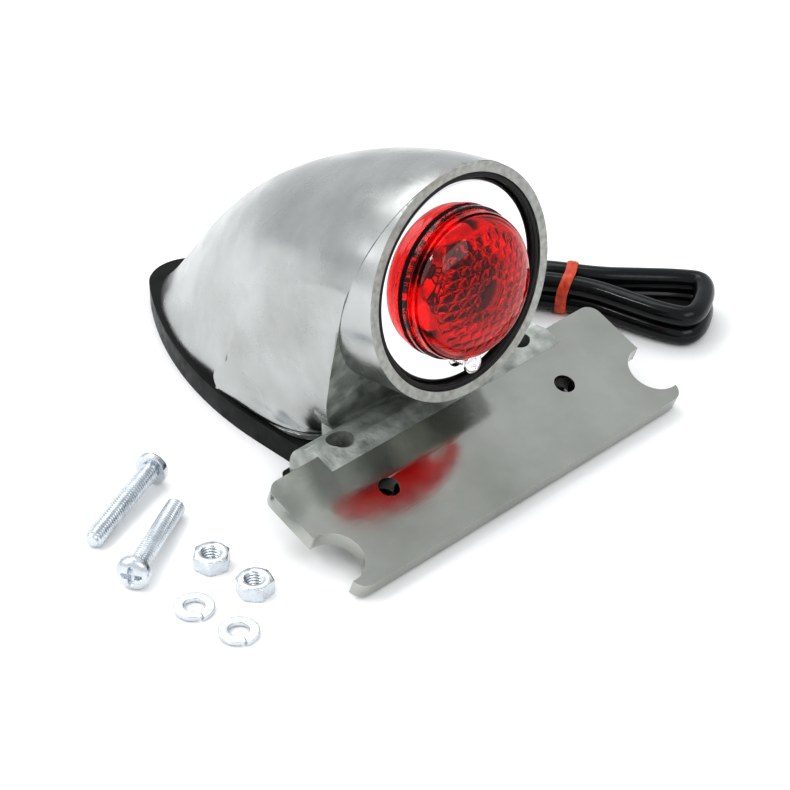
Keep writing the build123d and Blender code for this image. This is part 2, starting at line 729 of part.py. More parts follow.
tail_names = ("tail_wire_end", "brake_wire_end", "earth_wire_end")
bullet_planes = []
for index, name in enumerate(tail_names):
    across = tail_offset + index * tail_spread
    heading = radians(tail_headings[index])
    base = hank_plane.from_local_coords((tail_sink - hank_far_reach, across, tail_height))
    turn = Vector(-hank_far_reach - tail_bends[index], across + tail_drift, tail_height)
    bend = hank_plane.from_local_coords(turn)
    tip = hank_plane.from_local_coords(turn + Vector(-cos(heading), sin(heading), 0) * tail_runs[index])
    path = [tuple(base), tuple(bend), tuple(tip)]
    with BuildPart() as wire_end:
        with BuildLine():
            FilletPolyline(*path, radius=corner_radii(path))
        with BuildSketch(start_plane(path)):
            Circle(wire_radius)
        sweep()
    print(name, "radii", [round(radius, 1) for radius in corner_radii(path)])
    save(wire_end, name)
    bullet_planes.append(Plane(tip, z_dir=tip - bend))

with BuildPart() as lead_bullets:
    for plane in bullet_planes:
        with BuildSketch(plane):
            Circle(bullet_radius)
        extrude(amount=bullet_length * bullet_front)
        with BuildSketch(plane.offset(bullet_length * bullet_front)):
            Circle(bullet_radius * bullet_neck)
        extrude(amount=bullet_length * (1 - bullet_front))
save(lead_bullets, "lead_bullets")

# ---- loose mounting hardware ----
with BuildPart() as mounting_screws:
    for x, y, heading in screw_places:
        direction = (cos(radians(heading)), sin(radians(heading)), 0)
        drop = atan2(pan_head_radius - thread_radius, screw_shank)
        slant = Vector(direction[0] * cos(drop), direction[1] * cos(drop), -sin(drop))
        seat = Plane((x, y, pan_head_radius), z_dir=slant)
        with BuildSketch(seat):
            Circle(thread_radius)
        extrude(amount=screw_shank)
        with BuildSketch(seat):
            Circle(pan_head_radius)
        extrude(amount=-pan_head_height)
save(mounting_screws, "mounting_screws")

with BuildPart() as mounting_nuts:
    for x, y, heading in nut_places:
        with BuildSketch(laid_out(x, y, heading)):
            RegularPolygon(nut_flats / 2, 6, major_radius=False)
            Circle(thread_radius, mode=Mode.SUBTRACT)
        extrude(amount=nut_height)
save(mounting_nuts, "mounting_nuts")

with BuildPart() as spring_washers:
    for x, y, heading in washer_places:
        with BuildSketch(laid_out(x, y, heading)):
            Circle(washer_outer)
            Circle(washer_inner, mode=Mode.SUBTRACT)
            with Locations(((washer_outer + washer_inner) / 2, 0)):
                Rectangle(washer_outer, washer_gap, rotation=washer_cut, mode=Mode.SUBTRACT)
        extrude(amount=washer_thick)
save(spring_washers, "spring_washers")
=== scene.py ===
import json
import math
import bmesh
import bpy
import numpy as np
from mathutils import Matrix, Vector


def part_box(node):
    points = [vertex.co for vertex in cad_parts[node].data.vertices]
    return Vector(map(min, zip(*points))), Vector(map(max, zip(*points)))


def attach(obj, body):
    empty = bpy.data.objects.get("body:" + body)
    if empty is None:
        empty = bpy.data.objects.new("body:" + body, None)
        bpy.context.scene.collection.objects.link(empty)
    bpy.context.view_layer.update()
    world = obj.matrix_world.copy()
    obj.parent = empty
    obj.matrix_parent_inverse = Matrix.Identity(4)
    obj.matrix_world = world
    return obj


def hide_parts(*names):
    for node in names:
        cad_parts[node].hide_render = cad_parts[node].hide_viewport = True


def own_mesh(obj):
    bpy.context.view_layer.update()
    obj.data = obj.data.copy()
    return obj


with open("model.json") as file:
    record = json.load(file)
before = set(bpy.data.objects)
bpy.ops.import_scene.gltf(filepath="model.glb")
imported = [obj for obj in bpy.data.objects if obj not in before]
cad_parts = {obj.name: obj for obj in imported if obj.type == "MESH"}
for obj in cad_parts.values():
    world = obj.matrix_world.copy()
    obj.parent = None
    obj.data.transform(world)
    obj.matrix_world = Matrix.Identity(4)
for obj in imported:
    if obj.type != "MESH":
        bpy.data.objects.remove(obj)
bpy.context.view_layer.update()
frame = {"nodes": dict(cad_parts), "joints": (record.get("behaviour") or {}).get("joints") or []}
nodes = frame["nodes"]
print("frame loaded,", len(nodes), "nodes")

# where the lamp unit sits: the lens axis, the middle of the rim's face and the way up across it
lampAxis = -np.array([j["axis"] for j in frame["joints"] if j["name"] == "bulb_push"][0])
ringLow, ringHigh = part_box("lens_gasket")
ringSetback = 0.0016                       # middle of the lens gasket behind the rim's face
rimCentre = (np.array(ringLow) + np.array(ringHigh)) / 2 + lampAxis * ringSetback
across = np.array((1.0, 0.0, 0.0))
lampUp = np.cross(across, -lampAxis)
lampUp = lampUp / np.linalg.norm(lampUp) * np.sign(lampUp[2])


# camera, floor and lights
camera = dict(
    place=(-0.4468, -0.4437, 0.4592),
    right=(0.717, -0.697, 0.0),
    forward=(0.571, 0.587, -0.574),
    lens=114.4, sensor=36)
forward = Vector(camera["forward"]).normalized()
right = (Vector(camera["right"]) - forward * forward.dot(Vector(camera["right"]))).normalized()
up = right.cross(forward)
cameraData = bpy.data.cameras.new("camera")
cameraData.lens = camera["lens"]
cameraData.sensor_width = camera["sensor"]
cameraData.clip_start, cameraData.clip_end = 0.01, 20
cameraObject = bpy.data.objects.new("camera", cameraData)
cameraObject.matrix_world = Matrix((
    (right.x, up.x, -forward.x, camera["place"][0]),
    (right.y, up.y, -forward.y, camera["place"][1]),
    (right.z, up.z, -forward.z, camera["place"][2]),
    (0, 0, 0, 1)))
bpy.context.scene.collection.objects.link(cameraObject)
bpy.context.scene.camera = cameraObject

studio = dict(
    worldColour=(0.93, 0.95, 0.97), worldStrength=0.60, exposure=0.4,
    floorColour=(0.93, 0.93, 0.93), floorHalf=3.0, floorDrop=0.00005,
    softboxes=(    # place, aimed at, width, height, watts
        ((-0.75, 0.40, 0.62), (0, 0.03, 0.04), 0.80, 0.60, 1.7),
        ((0.10, 0.62, 0.95), (0, 0.03, 0.04), 0.90, 0.70, 2.8),
        ((-0.10, -0.80, 0.90), (0, 0.0, 0.03), 0.90, 0.60, 2.4),
        ((-0.55, 0.20, 0.78), (0, 0.0, 0.06), 0.14, 0.10, 0.5)))
world = bpy.data.worlds.new("studio")
bpy.context.scene.world = world
world.use_nodes = True
world.node_tree.nodes["Background"].inputs["Color"].default_value = (*studio["worldColour"], 1)
world.node_tree.nodes["Background"].inputs["Strength"].default_value = studio["worldStrength"]
bpy.context.scene.view_settings.view_transform = "Standard"
bpy.context.scene.view_settings.look = "Medium High Contrast"
bpy.context.scene.view_settings.exposure = studio["exposure"]
for number, (place, target, width, height, watts) in enumerate(studio["softboxes"]):
    light = bpy.data.lights.new("softbox%d" % number, "AREA")
    light.shape, light.size, light.size_y, light.energy = "RECTANGLE", width, height, watts
    lightObject = bpy.data.objects.new(light.name, light)
    lightObject.location = place
    lightObject.rotation_euler = (Vector(target) - Vector(place)).to_track_quat("-Z", "Y").to_euler()
    bpy.context.scene.collection.objects.link(lightObject)
print("camera and lights ready")


# a Principled material with fixed values on its own sockets
def newMaterial(name, colour, metallic=0.0, roughness=0.5, **sockets):
    material = bpy.data.materials.new(name)
    material.use_nodes = True
    shader = material.node_tree.nodes["Principled BSDF"]
    shader.inputs["Base Color"].default_value = (*colour, 1)
    shader.inputs["Metallic"].default_value = metallic
    shader.inputs["Roughness"].default_value = roughness
    for socket, value in sockets.items():
        shader.inputs[socket.replace("_", " ")].default_value = value
    return material


# noise over Object coordinates, stretched per axis
def objectNoise(material, scale, detail=3.0, stretch=(1, 1, 1), kind="NOISE"):
    tree = material.node_tree
    coordinates = tree.nodes.new("ShaderNodeTexCoord")
    mapping = tree.nodes.new("ShaderNodeMapping")
    mapping.inputs["Scale"].default_value = stretch
    tree.links.new(coordinates.outputs["Object"], mapping.inputs["Vector"])
    if kind == "VORONOI":
        texture = tree.nodes.new("ShaderNodeTexVoronoi")
    else:
        texture = tree.nodes.new("ShaderNodeTexNoise")
        texture.inputs["Detail"].default_value = detail
    texture.inputs["Scale"].default_value = scale
    tree.links.new(mapping.outputs["Vector"], texture.inputs["Vector"])
    return texture


def textureValue(texture):
    return texture.outputs["Distance"] if "Distance" in texture.outputs else texture.outputs["Fac"]


# base colour runs from dark to light as the texture's value runs from low to high
def colourVariation(material, texture, dark, light, low=0.3, high=0.7):
    tree = material.node_tree
    ramp = tree.nodes.new("ShaderNodeValToRGB")
    for element, place, colour in zip(ramp.color_ramp.elements, (low, high), (dark, light)):
        element.position = place
        element.color = (*colour, 1)
    tree.links.new(textureValue(texture), ramp.inputs["Fac"])
    tree.links.new(ramp.outputs["Color"], tree.nodes["Principled BSDF"].inputs["Base Color"])


# roughness runs from smooth to rough as the texture's value runs from low to high
def roughnessVariation(material, texture, smooth, rough, low=0.3, high=0.7):
    tree = material.node_tree
    spread = tree.nodes.new("ShaderNodeMapRange")
    for socket, value in (("From Min", low), ("From Max", high), ("To Min", smooth), ("To Max", rough)):
        spread.inputs[socket].default_value = value
    tree.links.new(textureValue(texture), spread.inputs["Value"])
    tree.links.new(spread.outputs["Result"], tree.nodes["Principled BSDF"].inputs["Roughness"])


# bump of that height in metres, on top of any bump the material has already
def relief(material, texture, height):
    tree = material.node_tree
    bump = tree.nodes.new("ShaderNodeBump")
    bump.inputs["Distance"].default_value = height
    tree.links.new(textureValue(texture), bump.inputs["Height"])
    normal = tree.nodes["Principled BSDF"].inputs["Normal"]
    if normal.links:
        tree.links.new(normal.links[0].from_socket, bump.inputs["Normal"])
    tree.links.new(bump.outputs["Normal"], normal)


polishedCasting = newMaterial("polishedCasting", (0.60, 0.61, 0.60), 1.0, 0.26)
castingCloud = objectNoise(polishedCasting, 42, 4)
colourVariation(polishedCasting, castingCloud, (0.36, 0.37, 0.36), (0.50, 0.51, 0.505))
roughnessVariation(polishedCasting, objectNoise(polishedCasting, 70, 5), 0.19, 0.34)
relief(polishedCasting, objectNoise(polishedCasting, 60, 1), 0.00022)
relief(polishedCasting, objectNoise(polishedCasting, 900, 1), 0.000004)

roughCasting = newMaterial("roughCasting", (0.20, 0.21, 0.20), 0.85, 0.5)
colourVariation(roughCasting, objectNoise(roughCasting, 160, 5), (0.24, 0.26, 0.24), (0.58, 0.60, 0.57))
roughnessVariation(roughCasting, objectNoise(roughCasting, 220, 4), 0.38, 0.62)
relief(roughCasting, objectNoise(roughCasting, 420, 5), 0.00035)
relief(roughCasting, objectNoise(roughCasting, 1400, 3), 0.00008)

rimSatin = newMaterial("rimSatin", (0.36, 0.365, 0.345), 1.0, 0.42)
colourVariation(rimSatin, objectNoise(rimSatin, 500, 5), (0.28, 0.285, 0.265), (0.44, 0.445, 0.42))
relief(rimSatin, objectNoise(rimSatin, 2600, 4), 0.00003)

plateSatin = newMaterial("plateSatin", (0.50, 0.50, 0.495), 1.0, 0.27)
colourVariation(plateSatin, objectNoise(plateSatin, 30, 5), (0.32, 0.33, 0.30), (0.46, 0.47, 0.44))
roughnessVariation(plateSatin, objectNoise(plateSatin, 90, 5), 0.09, 0.20)
relief(plateSatin, objectNoise(plateSatin, 130, 2), 0.00004)
relief(plateSatin, objectNoise(plateSatin, 2200, 2, (0.06, 1, 1)), 0.000008)

mirrorChrome = newMaterial("mirrorChrome", (0.93, 0.93, 0.94), 1.0, 0.03)
roughnessVariation(mirrorChrome, objectNoise(mirrorChrome, 90, 3), 0.02, 0.05)

ringRubber = newMaterial("ringRubber", (0.007, 0.006, 0.006), 0.0, 0.4, Specular_IOR_Level=0.25)
colourVariation(ringRubber, objectNoise(ringRubber, 300, 4), (0.003, 0.003, 0.003), (0.010, 0.008, 0.007))
relief(ringRubber, objectNoise(ringRubber, 1800, 3), 0.00003)

gasketRubber = newMaterial("gasketRubber", (0.004, 0.005, 0.005), 0.0, 0.5, Specular_IOR_Level=0.12)
gasketBloom = objectNoise(gasketRubber, 120, 5)
colourVariation(gasketRubber, gasketBloom, (0.002, 0.0025, 0.0025), (0.007, 0.008, 0.0075))
roughnessVariation(gasketRubber, objectNoise(gasketRubber, 260, 4), 0.3, 0.5)
relief(gasketRubber, objectNoise(gasketRubber, 1500, 4), 0.00005)

sleevePvc = newMaterial("sleevePvc", (0.004, 0.004, 0.005), 0.0, 0.16, Specular_IOR_Level=0.3)
colourVariation(sleevePvc, objectNoise(sleevePvc, 90, 3), (0.002, 0.0025, 0.003), (0.006, 0.007, 0.007))
roughnessVariation(sleevePvc, objectNoise(sleevePvc, 240, 4), 0.10, 0.22)
relief(sleevePvc, objectNoise(sleevePvc, 170, 2), 0.00012)

bandRubber = newMaterial("bandRubber", (0.62, 0.05, 0.012), 0.0, 0.45, Subsurface_Weight=0.1)
colourVariation(bandRubber, objectNoise(bandRubber, 500, 4), (0.42, 0.025, 0.008), (0.74, 0.08, 0.02))
relief(bandRubber, objectNoise(bandRubber, 1600, 3), 0.00006)


# bright zinc plating: a faint play of colour, grain and fine pits
def zincMaterial(name, tint):
    zinc = newMaterial(name, tint, 1.0, 0.24)
    darker = tuple(value * 0.8 for value in tint)
    colourVariation(zinc, objectNoise(zinc, 260, 4), darker, tint)
    roughnessVariation(zinc, objectNoise(zinc, 700, 4), 0.16, 0.34)
    relief(zinc, objectNoise(zinc, 2400, 3), 0.00002)
    return zinc


zincPlated = zincMaterial("zincPlated", (0.72, 0.76, 0.80))
springSteel = zincMaterial("springSteel", (0.52, 0.54, 0.56))
socketSteel = zincMaterial("socketSteel", (0.60, 0.61, 0.63))
reflectorMetal = newMaterial("reflectorMetal", (0.88, 0.88, 0.89), 1.0, 0.12)
roughnessVariation(reflectorMetal, objectNoise(reflectorMetal, 150, 3), 0.08, 0.2)
capBrass = newMaterial("capBrass", (0.76, 0.60, 0.30), 1.0, 0.25)
colourVariation(capBrass, objectNoise(capBrass, 240, 4), (0.62, 0.46, 0.22), (0.82, 0.66, 0.36))
roughnessVariation(capBrass, objectNoise(capBrass, 500, 4), 0.18, 0.36)
insulatorGlass = newMaterial("insulatorGlass", (0.015, 0.015, 0.02), 0.0, 0.12)
colourVariation(insulatorGlass, objectNoise(insulatorGlass, 400, 3), (0.01, 0.01, 0.012), (0.03, 0.03, 0.035))
solderDots = newMaterial("solderDots", (0.6, 0.6, 0.6), 1.0, 0.3)
relief(solderDots, objectNoise(solderDots, 900, 3), 0.00006)
tungsten = newMaterial("tungsten", (0.35, 0.35, 0.36), 1.0, 0.35)
relief(tungsten, objectNoise(tungsten, 3000, 2), 0.00003)
phenolic = newMaterial("phenolic", (0.28, 0.15, 0.06), 0.0, 0.5)
colourVariation(phenolic, objectNoise(phenolic, 800, 4, (1, 4, 1)), (0.20, 0.10, 0.04), (0.36, 0.21, 0.10))
foamRubber = newMaterial("foamRubber", (0.008, 0.008, 0.008), 0.0, 0.9, Specular_IOR_Level=0.2)
relief(foamRubber, objectNoise(foamRubber, 2000, 2, kind="VORONOI"), 0.0002)
bulbGlass = newMaterial("bulbGlass", (1, 1, 1), 0.0, 0.02, Transmission_Weight=1.0, IOR=1.1)
relief(bulbGlass, objectNoise(bulbGlass, 60, 2), 0.00005)


# insulated wire: nearly even colour, fine scuffs and a soft gloss
def wireMaterial(name, dark, light):
    wire = newMaterial(name, light, 0.0, 0.32)
    colourVariation(wire, objectNoise(wire, 300, 4), dark, light)
    relief(wire, objectNoise(wire, 900, 3), 0.00004)
    return wire


wireRed = wireMaterial("wireRed", (0.34, 0.010, 0.010), (0.50, 0.02, 0.02))
wireYellow = wireMaterial("wireYellow", (0.62, 0.47, 0.03), (0.78, 0.62, 0.05))
wireBlack = wireMaterial("wireBlack", (0.008, 0.008, 0.008), (0.02, 0.02, 0.02))

lensRed = newMaterial("lensRed", (1.0, 0.004, 0.002), 0.0, 0.03,
                      Transmission_Weight=1.0, IOR=1.40, Specular_IOR_Level=0.15)
roughnessVariation(lensRed, objectNoise(lensRed, 120, 3), 0.015, 0.05)

floorMatt = newMaterial("floorMatt", studio["floorColour"], 0.0, 0.6)

meshing = dict(weld=1e-6, sliver=1e-7, sharpAngle=40)


# a mesh from points and faces: doubles merged, faces outward, steep edges kept sharp
def meshObject(name, points, faces, material, closed=True):
    mesh = bpy.data.meshes.new(name)
    mesh.from_pydata(points.reshape(-1, 3).tolist(), [], faces.tolist())
    editing = bmesh.new()
    editing.from_mesh(mesh)
    bmesh.ops.remove_doubles(editing, verts=editing.verts, dist=meshing["weld"])
    bmesh.ops.dissolve_degenerate(editing, edges=editing.edges, dist=meshing["sliver"])
    if closed:
        bmesh.ops.recalc_face_normals(editing, faces=editing.faces)
    editing.to_mesh(mesh)
    editing.free()
    mesh.shade_smooth()
    mesh.set_sharp_from_angle(angle=math.radians(meshing["sharpAngle"]))
    mesh.materials.append(material)
    piece = bpy.data.objects.new(name, mesh)
    bpy.context.scene.collection.objects.link(piece)
    return piece


# the four-sided faces of a grid of rows by columns of points, joined end to end where it wraps
def gridFaces(rows, columns, wrapRows=False, wrapColumns=False):
    rowRange, columnRange = np.arange(rows - (not wrapRows)), np.arange(columns - (not wrapColumns))
    i, j = np.meshgrid(rowRange, columnRange, indexing="ij")
    here, below = i * columns, (i + 1) % rows * columns
    nextColumn = (j + 1) % columns
    return np.stack((here + j, here + nextColumn, below + nextColumn, below + j), -1).reshape(-1, 4)


# a closed profile with each corner replaced by an arc tangent to both of its sides: the arc's centre lies on
# the line that halves the corner, the radius over the sine of half the corner away
def roundedProfile(corners, radii, steps=6):
    corners = np.array(corners, float)
    made = []
    for before, here, after, radius in zip(np.roll(corners, 1, 0), corners, np.roll(corners, -1, 0), radii):
        if radius == 0:
            made.append(here[None])
            continue
        toBefore, toAfter = (side / np.linalg.norm(side) for side in (before - here, after - here))
        half = math.acos(np.clip(toBefore @ toAfter, -1, 1)) / 2
        middle = toBefore + toAfter
        centre = here + middle / np.linalg.norm(middle) * radius / math.sin(half)
        setBack = radius / math.tan(half)
        start, end = here + toBefore * setBack - centre, here + toAfter * setBack - centre
        turn = math.acos(np.clip(start @ end / radius ** 2, -1, 1))
        share = np.linspace(0, 1, steps + 1)[:, None]
        swung = np.sin((1 - share) * turn) * start + np.sin(share * turn) * end
        made.append(centre + swung / math.sin(turn))
    return np.concatenate(made)


# a profile of (radius, height) pairs turned about an axis: each point is the centre, plus its radius times
# the cosine and sine of the turn along two directions across the axis, plus its height along the axis
def turned(name, profile, material, centre, axis, closed=True, turns=192):
    axis = np.array(axis, float) / np.linalg.norm(axis)
    side = np.cross(axis, (0.0, 0.0, 1.0) if abs(axis[2]) < 0.9 else (1.0, 0.0, 0.0))
    side = side / np.linalg.norm(side)
    other = np.cross(axis, side)
    angle = np.linspace(0, 2 * math.pi, turns, endpoint=False)[None, :, None]
    radius, height = profile[:, 0, None, None], profile[:, 1, None, None]
    points = np.array(centre) + radius * (np.cos(angle) * side + np.sin(angle) * other) + height * axis
    return meshObject(name, points, gridFaces(len(profile), turns, closed, True), material)


# the piece rides on its body and stands for those nodes, which it hides
def stands(piece, body, slotName, *replaced):
    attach(piece, body)
    if replaced:
        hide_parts(*replaced)
    return piece


floorSpan = studio["floorHalf"] * np.array([[-1, -1, 0], [1, -1, 0], [-1, 1, 0], [1, 1, 0]], float)
floorSpan[:, 2] = -studio["floorDrop"]
floor = meshObject("floor", floorSpan, np.array([[0, 1, 3, 2]]), floorMatt, closed=False)


# the lead: a sleeve folded into two turns under a band, then three wire ends with bullets
lead = dict(
    diameter=0.007,
    route=((0.0140, 0.0957), (0.0360, 0.0985), (0.0545, 0.0860), (0.0575, 0.0640)), height=0.0036,
    bandPlace=(0.087, 0.023), heading=-60.0,
    strandStations=(-0.037, -0.023, -0.009, 0.009, 0.023, 0.036),
    waistHalf=0.0036, waistLow=0.00465, waistHigh=0.0112, tied=0.009, opening=0.027, foldRise=0.0004,
    low=0.0036, high=0.0107,
    nearReach=0.0457, farReach=0.0483,
    strands=(    # way, side, width and height at the far end, width and height at the near end
        (1, -1, 0.0070, "low", 0.0112, "low"),
        (-1, 1, 0.0112, "high", 0.0118, "low"),
        (1, -1, 0.0112, "high", 0.0114, "high"),
        (-1, 1, 0.0050, "low", 0.0108, "high")),
    mouth=(-0.0475, 0.0060))
leadHeading = math.radians(lead["heading"])
alongHank = np.array((math.cos(leadHeading), math.sin(leadHeading), 0.0))
acrossHank = np.array((-math.sin(leadHeading), math.cos(leadHeading), 0.0))


# points given along and across the hank from its band, and their height
def onHank(u, w, z):
    u, w, z = np.broadcast_arrays(np.asarray(u, float), w, z)
    place = np.array((*lead["bandPlace"], 0.0))
    upwards = np.array((0.0, 0.0, 1.0))
    return place + u[..., None] * alongHank + w[..., None] * acrossHank + z[..., None] * upwards


def easing(share):
    return share * share * (3 - 2 * share)


hankPoints = []
for number, (way, side, farWidth, farLevel, nearWidth, nearLevel) in enumerate(lead["strands"]):
    stations = np.array(lead["strandStations"])[::way]
    opened = easing(np.clip((np.abs(stations) - lead["tied"]) / lead["opening"], 0, 1))
    waistLevel = lead["waistLow"] if number < 2 else lead["waistHigh"]
    width = np.where(stations < 0, farWidth, nearWidth)
    level = np.where(stations < 0, lead[farLevel], lead[nearLevel])
    hankPoints.append(onHank(stations, side * (lead["waistHalf"] + (width - lead["waistHalf"]) * opened),
                             waistLevel + (level - waistLevel) * opened))
    if number in (0, 2):      # fold at the near end
        hankPoints.append(onHank(lead["nearReach"], np.array((-1, 1)) * nearWidth, lead[nearLevel]))
    if number == 1:           # fold at the far end, over the two strands that lie below it
        foldLevel = lead[farLevel] + lead["foldRise"]
        hankPoints.append(onHank(-lead["farReach"], np.array((1, -1)) * farWidth, foldLevel))
hankPoints.append(onHank(np.array([lead["mouth"][0]]), lead["mouth"][1], lead["low"]))
leadPoints = np.concatenate([[(x, y, lead["height"]) for x, y in lead["route"]], *hankPoints])


# one NURBS spline with these control points, thickened to a round cord
def splinePiece(name, points, diameter, material, resolution=10, sides=6):
    curve = bpy.data.curves.new(name, "CURVE")
    curve.dimensions = "3D"
    spline = curve.splines.new("NURBS")
    spline.points.add(len(points) - 1)
    spline.points.foreach_set("co", np.c_[points, np.ones(len(points))].ravel())
    spline.order_u = 3
    spline.use_endpoint_u = True
    spline.resolution_u = resolution
    curve.bevel_depth = diameter / 2
    curve.bevel_resolution = sides
    curve.use_fill_caps = True
    curve.materials.append(material)
    piece = bpy.data.objects.new(name, curve)
    bpy.context.scene.collection.objects.link(piece)
    return piece


leadCord = stands(splinePiece("leadCord", leadPoints, lead["diameter"], sleevePvc), "lamp", "sleeve_pvc",
                  "lead_sleeve", "lead_hank")


# the real length of the cord's own line
def splineLength(piece):
    bare = bpy.data.objects.new("bare", piece.data.copy())
    bare.data.bevel_depth = 0
    mesh = bpy.data.meshes.new_from_object(bare)
    line = np.zeros(len(mesh.vertices) * 3, np.float32)
    mesh.vertices.foreach_get("co", line)
    line = line.reshape(-1, 3).astype(float)
    bpy.data.meshes.remove(mesh)
    bpy.data.curves.remove(bare.data)
    return float(np.linalg.norm(np.diff(line, axis=0), axis=1).sum())


print("lead length", round(splineLength(leadCord), 4))

# the band: a rounded oblong carried round the strands, leaning a little, with shallow wraps
band = dict(
    halfWidth=0.0076, low=0.0006, high=0.0152, thick=0.0011, width=0.0038, corner=0.0048, squareness=0.6,
    lean=0.16, leanLevel=0.0075, sway=0.0003, swayTurns=3, wraps=3, wrapDeep=0.16, around=220, section=48)
turnShare = np.linspace(0, 1, band["around"], endpoint=False)
bandOutline = roundedProfile(
    ((-band["halfWidth"], band["low"]), (band["halfWidth"], band["low"]),
     (band["halfWidth"], band["high"]), (-band["halfWidth"], band["high"])), [band["corner"]] * 4, 18)
bandLoop = np.concatenate((bandOutline, bandOutline[:1]))
bandRun = np.concatenate(([0], np.cumsum(np.linalg.norm(np.diff(bandLoop, axis=0), axis=1))))
ringAt = turnShare * bandRun[-1]
ringPoints = np.stack([np.interp(ringAt, bandRun, bandLoop[:, k]) for k in (0, 1)], -1)
tangent = np.roll(ringPoints, -1, 0) - np.roll(ringPoints, 1, 0)
tangent /= np.linalg.norm(tangent, axis=1)[:, None]
outward = np.stack((tangent[:, 1], -tangent[:, 0]), -1)
section = np.linspace(0, 2 * math.pi, band["section"], endpoint=False)
sectionWide = np.sign(np.cos(section)) * np.abs(np.cos(section)) ** band["squareness"] * band["width"] / 2
wrapTurn = 2 * math.pi * band["wraps"] * sectionWide / band["width"]
ripple = 1 - band["wrapDeep"] * np.cos(wrapTurn) * np.abs(np.sin(section))
sectionHigh = np.sin(section) * band["thick"] / 2 * ripple
sway = band["sway"] * np.sin(2 * math.pi * turnShare * band["swayTurns"]) \
    + band["lean"] * (ringPoints[:, 1] - band["leanLevel"])
bandPoints = onHank(sectionWide[None] + sway[:, None],
                    ringPoints[:, :1] + outward[:, :1] * sectionHigh[None],
                    ringPoints[:, 1:] + outward[:, 1:] * sectionHigh[None])
bandFaces = gridFaces(band["around"], band["section"], True, True)
hankBand = meshObject("hankBand", bandPoints, bandFaces, bandRubber)
stands(hankBand, "lamp", "band_rubber", "hank_band")

wireEnds = dict(
    diameter=0.0019, start=(-0.048, 0.0034), spread=0.0026, height=0.0021,
    bends=(0.014, 0.011, 0.008), reach=0.052, drift=0.003,
    headings=(40.0, 52.0, 64.0), runs=(0.012, 0.016, 0.020),
    names=("wireEndRed", "wireEndYellow", "wireEndBlack"), slots=("wire_red", "wire_yellow", "wire_black"),
    nodes=("tail_wire_end", "brake_wire_end", "earth_wire_end"))
# a bullet connector from its mouth: a barrel with one crimp groove, a neck and a rounded head
bulletProfile = np.array((
    (0.0, -0.0002), (0.0017, -0.0002), (0.0019, 0.0), (0.0020, 0.0004), (0.0020, 0.0028),
    (0.00185, 0.0031), (0.00185, 0.0036), (0.0020, 0.0039), (0.0020, 0.0066), (0.0019, 0.0071),
    (0.0015, 0.0074), (0.00125, 0.0078), (0.00125, 0.0088), (0.0014, 0.0092), (0.0016, 0.0098),
    (0.0016, 0.0116), (0.0015, 0.0123), (0.0011, 0.0128), (0.0005, 0.0130), (0.0, 0.0130)))
bulletPieces, wirePieces = [], []
for number, name in enumerate(wireEnds["names"]):
    w = wireEnds["start"][1] + number * wireEnds["spread"]
    turnHeading = math.radians(wireEnds["headings"][number])
    bendU, bendW = -wireEnds["reach"] - wireEnds["bends"][number], w + wireEnds["drift"]
    tipU = bendU - math.cos(turnHeading) * wireEnds["runs"][number]
    tipW = bendW + math.sin(turnHeading) * wireEnds["runs"][number]
    alongWire, asideWire = np.array((wireEnds["start"][0], bendU, tipU)), np.array((w, bendW, tipW))
    points = onHank(alongWire, asideWire, wireEnds["height"])
    wire = splinePiece(name, points, wireEnds["diameter"], (wireRed, wireYellow, wireBlack)[number], 24, 5)
    stands(wire, "lamp", wireEnds["slots"][number], wireEnds["nodes"][number])
    piece = turned("bullet" + name[7:], bulletProfile, capBrass, points[2], points[2] - points[1], False, 40)
    stands(piece, "lamp", "contact_brass", "lead_bullets")
    bulletPieces.append(piece)
    wirePieces.append((wire, points[0]))
round(splineLength(leadCord), 3)
for (wire, start), piece in zip(wirePieces, bulletPieces):
    round(splineLength(wire), 3)
print("lead, band and wire ends ready")


# lamp unit, from the rim's face along the lens axis: bezel, seal, lens, lens screw and contact spring
bezel = dict(
    radius=0.0317, bore=0.0205, face=-0.0020, thick=0.0010, lip=0.0050,
    roll=0.0020, innerRoll=0.0008, boreEdge=0.0002, lipEdge=0.0003)
bezelInside, bezelBack = bezel["radius"] - bezel["thick"], bezel["face"] - bezel["thick"]
bezelEdge = bezel["face"] - bezel["lip"]
bezelProfile = roundedProfile(
    ((bezel["bore"], bezel["face"]), (bezel["radius"], bezel["face"]), (bezel["radius"], bezelEdge),
     (bezelInside, bezelEdge), (bezelInside, bezelBack), (bezel["bore"], bezelBack)),
    (bezel["boreEdge"], bezel["roll"], bezel["lipEdge"], bezel["lipEdge"], bezel["innerRoll"],
     bezel["boreEdge"]), 10)
bezelRing = turned("bezelRing", bezelProfile, mirrorChrome, rimCentre, lampAxis, True, 256)
stands(bezelRing, "lamp", "bezel_chrome", "chrome_bezel")

seal = dict(
    outer=0.03345, inner=0.0303, groove=0.03175, face=-0.0004, back=-0.0106, lipBack=-0.00705,
    frontEdge=0.0004, backEdge=0.0006, innerEdge=0.0003)
sealProfile = roundedProfile(
    ((seal["outer"], seal["face"]), (seal["outer"], seal["back"]), (seal["inner"], seal["back"]),
     (seal["inner"], seal["lipBack"]), (seal["groove"], seal["lipBack"]), (seal["groove"], seal["face"])),
    (seal["frontEdge"], seal["backEdge"], seal["innerEdge"], 0, 0, seal["frontEdge"]), 5)
sealRing = turned("sealRing", sealProfile, ringRubber, rimCentre, lampAxis)
stands(sealRing, "lamp", "seal_rubber", "rim_seal")

